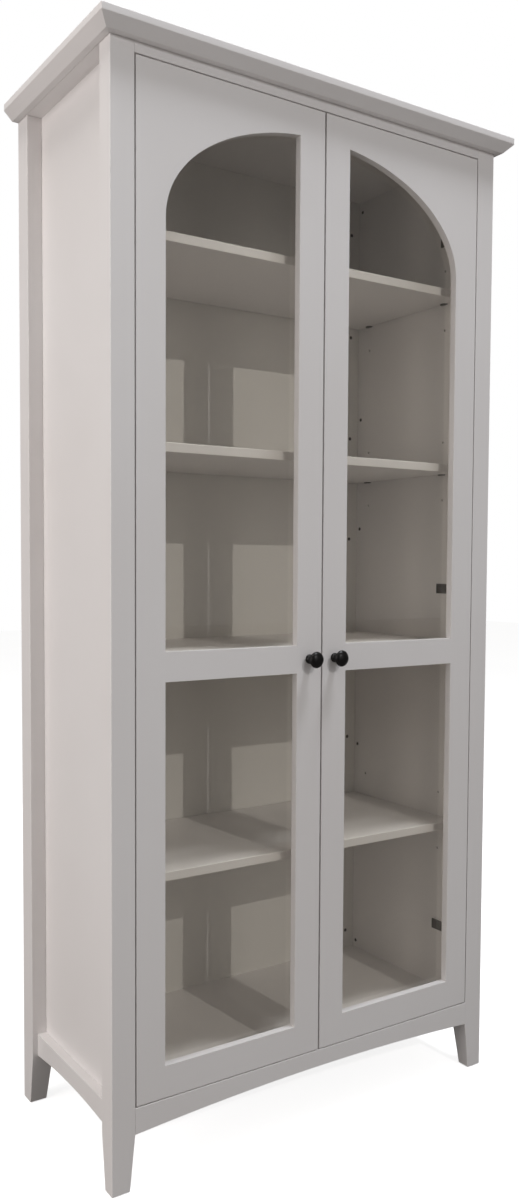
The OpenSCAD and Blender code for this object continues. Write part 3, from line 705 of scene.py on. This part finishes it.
def screw_pattern(head_radius, shank_radius, cone, length):
    """A screw with the middle of its head at the origin and its shank down -Z."""
    bm = bmesh.new()
    cross_size = CROSS_SHARE * head_radius
    slot_edge = cross_size / 3
    bmesh.ops.create_grid(bm, x_segments=3, y_segments=3, size=cross_size)
    beyond = [
        face for face in bm.faces
        if min(abs(face.calc_center_median().x), abs(face.calc_center_median().y)) > slot_edge
    ]
    bmesh.ops.delete(bm, geom=beyond, context="FACES")
    outline = [edge for edge in bm.edges if edge.is_boundary]
    bmesh.ops.subdivide_edges(bm, edges=outline, cuts=1)
    outline = [edge for edge in bm.edges if edge.is_boundary]
    rim = bmesh.ops.create_circle(bm, segments=len(outline), radius=head_radius)["verts"]
    rim_edges = [edge for edge in bm.edges if edge.verts[0] in rim]
    bmesh.ops.bridge_loops(bm, edges=outline + rim_edges)
    cross = [
        face for face in bm.faces
        if max(abs(vertex.co.x) + abs(vertex.co.y) for vertex in face.verts) < CROSS_ARM * head_radius
    ]
    sunk = bmesh.ops.extrude_face_region(bm, geom=cross)["geom"]
    sunk_verts = [part for part in sunk if isinstance(part, bmesh.types.BMVert)]
    bmesh.ops.delete(bm, geom=[face for face in cross if face.is_valid], context="FACES_ONLY")
    bmesh.ops.scale(bm, vec=(RECESS_FLOOR, RECESS_FLOOR, 1), verts=sunk_verts)
    bmesh.ops.translate(bm, vec=(0, 0, -RECESS_DEPTH * cone), verts=sunk_verts)
    loop = rim_edges
    rim_drop, cone_drop, shank_drop = RIM_SHARE * cone, (1 - RIM_SHARE) * cone, length - cone
    for drop, narrowing in ((rim_drop, 1), (cone_drop, shank_radius / head_radius), (shank_drop, 1)):
        drawn = bmesh.ops.extrude_edge_only(bm, edges=loop)["geom"]
        drawn_verts = [part for part in drawn if isinstance(part, bmesh.types.BMVert)]
        loop = [part for part in drawn if isinstance(part, bmesh.types.BMEdge)]
        bmesh.ops.scale(bm, vec=(narrowing, narrowing, 1), verts=drawn_verts)
        bmesh.ops.translate(bm, vec=(0, 0, -drop), verts=drawn_verts)
    bmesh.ops.edgeloop_fill(bm, edges=loop)
    return pattern_mesh(bm, "screw_pattern")


SHANK_SHARE = 0.47
CONE_SHARE = 0.29


def screws(node, material):
    """Cross-head screws in place of a node's plain ones."""
    bm = bmesh.new()
    for points in solids_of(node):
        low, high = corners(points)
        size = high - low
        axis = max(range(3), key=lambda i: size[i])
        across = size[(axis + 1) % 3]
        mean = sum((point[axis] for point in points), 0.0) / len(points)
        head_is_high = high[axis] - mean < mean - low[axis]
        head = (low + high) / 2
        head[axis] = high[axis] if head_is_high else low[axis]
        outward = Vector((0, 0, 0))
        outward[axis] = 1 if head_is_high else -1
        pattern = screw_pattern(across / 2, SHANK_SHARE * across / 2, CONE_SHARE * across, size[axis])
        stamp(bm, pattern, facing(head, outward))
        bpy.data.meshes.remove(pattern)
    piece = finish_piece(bm, f"{node}_finished", material, body_of(node), [node])
    print(piece.name, len(piece.data.polygons), "faces")


screws("hinge_screws", DARK_NICKEL)
screws("panel_screws", DARK_NICKEL)
screws("top_screws", ZINC)
for side in SIDES:
    screws(f"{side}_door_screws", DARK_NICKEL)

# %% [markdown]
# ## Knobs
# A cast knob is turned: a round foot, a drawn-in neck, and a mushroom head with a low dome. Its outline is
# drawn once as a chain of edges and spun round its own axis, the way a lathe does it. Curves in the outline
# are worked out from sines, so they stay smooth when the light rakes across them.

# %% Knobs
def lathe(bm, outline, steps=56):
    """Spins an outline of (radius, height) round Z, and closes it where it meets the axis."""
    chain = [bm.verts.new((radius, 0, height)) for radius, height in outline]
    links = [bm.edges.new(pair) for pair in zip(chain, chain[1:])]
    bmesh.ops.spin(bm, geom=chain + links, cent=(0, 0, 0), axis=(0, 0, 1), dvec=(0, 0, 0),
                   angle=2 * pi, steps=steps, use_merge=True, use_duplicate=False)
    bmesh.ops.remove_doubles(bm, verts=bm.verts, dist=0.01 * MM)


def knob_outline(reach, head_radius):
    """Section of a knob from its foot to its dome, as (radius, height) points."""
    foot, neck, edge = 0.58 * head_radius, 0.37 * head_radius, 0.11 * head_radius
    neck_start, neck_end = 0.1 * reach, 0.64 * reach
    dome_start = 0.72 * reach
    outline = [
        (0, 0), (foot - edge / 2, 0), (foot, edge / 2),
        (foot, neck_start), (foot - edge / 2, neck_start + edge / 2),
    ]
    steps = 12
    for step in range(1, steps + 1):
        along = step / steps
        height = neck_start + edge / 2 + (neck_end - neck_start - edge / 2) * along
        out = foot - edge / 2 + (head_radius - edge - foot + edge / 2) * along ** 2.6
        waist = (out - neck) * sin(pi * along) ** 0.8 * (1 - along ** 3)
        outline.append((out - waist, height))
    for step in range(0, steps + 1):
        turn = (step / steps) * pi / 2
        outline.append((head_radius * cos(turn), dome_start + (reach - dome_start) * sin(turn)))
    outline[-1] = (0, reach)
    return outline


for side in SIDES:
    node = f"{side}_knob"
    low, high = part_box(node)
    bm = bmesh.new()
    lathe(bm, knob_outline(high.y - low.y, (high.x - low.x) / 2))
    foot = Vector(((low.x + high.x) / 2, high.y, (low.z + high.z) / 2))
    bmesh.ops.transform(bm, matrix=facing(foot, Vector((0, -1, 0))), verts=bm.verts)
    bmesh.ops.recalc_face_normals(bm, faces=bm.faces)
    finish_piece(bm, f"{node}_turned", ENAMEL, body_of(node), [node], smooth_below=50)
print("knob reach", round(high.y - low.y, 4))

# %% [markdown]
# ## Concealed hinges
# Each hinge is three pressed parts. A dished cup with a rounded flange is sunk in the door, with a tab above
# and below for its screws; an arm reaches over from the side panel; and a flat plate holds the arm. The cup
# is spun from its section, like a bowl. The tabs are small blocks with their outer corners rounded right
# over, and two leaves on a round axle stand in the cup, where the arm joins.

# %% Hinge cups
def rounded_block(bm, low, high, corner, arris, corner_axis):
    """A block with its edges along one axis rounded by corner, and then all the sharp rims by arris."""
    made = bmesh.ops.create_cube(bm, size=1)["verts"]
    bmesh.ops.scale(bm, vec=high - low, verts=made)
    bmesh.ops.translate(bm, vec=(low + high) / 2, verts=made)
    upright = [
        edge for edge in {edge for vertex in made for edge in vertex.link_edges}
        if runs_along(edge, corner_axis)
    ]
    before = set(bm.verts) - set(made)
    bevel(bm, upright, corner, 5)
    rims = [
        edge for edge in bm.edges
        if edge.verts[0] not in before and edge.calc_face_angle(0) > radians(60)
    ]
    bevel(bm, rims, arris, 2)


FLANGE_LIP = 1.0 * MM
CUP_WALL = 1.4 * MM
CUP_BEND = 3 * MM
ARRIS = 0.35 * MM
TAB_HALF_WIDTH = 6 * MM
TAB_CORNER = 3 * MM
AXLE_RADIUS = 1.6 * MM
AXLE_LENGTH = 13 * MM
LEAF_HALF_WIDTH = 5 * MM
LEAF_CORNER = 2 * MM
LEAF_T = 2.2 * MM
LEAF_SPREAD = 5.2 * MM


def cup_outline(flange, wing, depth):
    """Section of a cup: the inside of the dish, the flange and the outside, with heights from the door."""
    inside = flange - FLANGE_LIP - CUP_WALL
    floor_height = CUP_WALL - depth
    bend_steps = 5
    outline = [(0, floor_height)]
    for step in range(bend_steps + 1):
        turn = (step / bend_steps) * pi / 2
        out = inside - CUP_BEND + CUP_BEND * sin(turn)
        outline.append((out, floor_height + CUP_BEND - CUP_BEND * cos(turn)))
    outline += [
        (inside, wing - ARRIS), (inside + ARRIS, wing), (flange - ARRIS, wing), (flange, wing - ARRIS),
        (flange, 0), (flange - FLANGE_LIP, 0), (flange - FLANGE_LIP, -depth), (0, -depth),
    ]
    return outline


for side in SIDES:
    node = f"{side}_hinge_cups"
    bm = bmesh.new()
    for points in solids_of(node):
        low, high = corners(points)
        flange = (high.x - low.x) / 2
        wing = high.y - door_back_y
        depth = door_back_y - low.y
        middle_x, middle_z = (low.x + high.x) / 2, (low.z + high.z) / 2
        dish = bmesh.new()
        lathe(dish, cup_outline(flange, wing, depth))
        pattern = pattern_mesh(dish, "cup_pattern")
        stamp(bm, pattern, facing(Vector((middle_x, door_back_y, middle_z)), Vector((0, 1, 0))))
        bpy.data.meshes.remove(pattern)
        for way in (-1, 1):
            near = middle_z + way * (flange - 2 * FLANGE_LIP)
            far = middle_z + way * (high.z - low.z) / 2
            tab_low = Vector((middle_x - TAB_HALF_WIDTH, door_back_y, min(near, far)))
            tab_high = Vector((middle_x + TAB_HALF_WIDTH, high.y - 0.1 * MM, max(near, far)))
            rounded_block(bm, tab_low, tab_high, TAB_CORNER, ARRIS, 1)
            leaf_z = middle_z + way * LEAF_SPREAD
            leaf_low = Vector((middle_x - LEAF_HALF_WIDTH, low.y + CUP_WALL, leaf_z - LEAF_T / 2))
            leaf_high = Vector((middle_x + LEAF_HALF_WIDTH, door_back_y - 1 * MM, leaf_z + LEAF_T / 2))
            rounded_block(bm, leaf_low, leaf_high, LEAF_CORNER, ARRIS, 2)
        axle = bmesh.ops.create_cone(bm, cap_ends=True, segments=20, depth=AXLE_LENGTH,
                                     radius1=AXLE_RADIUS, radius2=AXLE_RADIUS)["verts"]
        bmesh.ops.translate(bm, vec=(middle_x, door_back_y - depth / 2, middle_z), verts=axle)
    finish_piece(bm, f"{node}_finished", DARK_NICKEL, body_of(node), [node])
print("cups:", 2 * len(solids_of(node)), "depth", round(depth, 4))

# %% [markdown]
# The arm is pressed steel, so it has soft bends and a shallow channel along the face that looks into the
# cabinet. Two screws in the channel set the door's gap and its depth. The face is found by its area and by
# the way it looks, inset and pushed in; then every arris is eased.

# %% Hinge arms
CHANNEL_MARGIN = 2.2 * MM
CHANNEL_DEPTH = 0.7 * MM
ARM_ARRIS = 0.9 * MM
ADJUSTER = {"head_radius": 2.9 * MM, "shank_radius": 1.4 * MM, "cone": 1.2 * MM, "length": 2.2 * MM}
ADJUSTER_PLACES = (-0.45, 0.45)


def inner_face(bm, sign):
    """The largest face that looks into the cabinet, on the side that sign gives."""
    looking_in = [face for face in bm.faces if face.normal.x * -sign > 0.3]
    return max(looking_in, key=lambda face: face.calc_area())


arms = bmesh.new()
for points in solids_of("hinge_arms"):
    low, high = corners(points)
    sign = 1 if low.x > 0 else -1
    bm = merged("hinge_arms")
    others = [
        vertex for vertex in bm.verts
        if vertex.co.x * sign < 0 or not low.z - 1 * MM < vertex.co.z < high.z + 1 * MM
    ]
    bmesh.ops.delete(bm, geom=others, context="VERTS")
    join_flat_faces(bm)
    bm.normal_update()
    face = inner_face(bm, sign)
    normal = face.normal.copy()
    centre = face.calc_center_median()
    long_way = Vector((0, 0, 1)).cross(normal).normalized()
    length = max((loop.vert.co - centre).dot(long_way) for loop in face.loops)
    bmesh.ops.inset_individual(bm, faces=[face], thickness=CHANNEL_MARGIN, depth=-CHANNEL_DEPTH)
    arrises = [edge for edge in bm.edges if edge.is_convex and edge.calc_face_angle(0) > radians(25)]
    bevel(bm, arrises, ARM_ARRIS, 3)
    one_arm = bpy.data.meshes.new("arm")
    bm.to_mesh(one_arm)
    bm.free()
    arms.from_mesh(one_arm)
    bpy.data.meshes.remove(one_arm)
    adjuster = screw_pattern(**ADJUSTER)
    for along in ADJUSTER_PLACES:
        stamp(arms, adjuster, facing(centre + long_way * along * length - normal * 0.2 * MM, normal))
    bpy.data.meshes.remove(adjuster)
finish_piece(arms, "hinge_arms_finished", DARK_NICKEL, body_of("hinge_arms"), ["hinge_arms"])
print("hinge arms:", len(solids_of("hinge_arms")))

# %% [markdown]
# ## Plates, pins, bracket, glides and dowels
# These small parts already have their true shape. The wall plates, the shelf pins, the bracket and the
# glides only need their arrises eased, so they are copies of the frame's own solids. The dowels are hidden
# in their holes, and plain beech is enough for them.

# %% Small fittings
FITTING_RADIUS = 0.5 * MM
eased_piece("hinge_plates", DARK_NICKEL, FITTING_RADIUS, slot="dark_nickel", least=2 * MM)
eased_piece("shelf_pins", DARK_NICKEL, ARRIS, slot="dark_nickel", least=0.4 * MM, segments=2)
eased_piece("tip_bracket", ZINC, FITTING_RADIUS, slot="zinc_steel", least=1.5 * MM)
eased_piece("foot_glides", NYLON, FITTING_RADIUS, slot="nylon_glide", least=0.5 * MM, segments=2)
for dowels in ("frame_dowels", "shelf_dowels"):
    repaint(dowels, BEECH)
print("small fittings done")
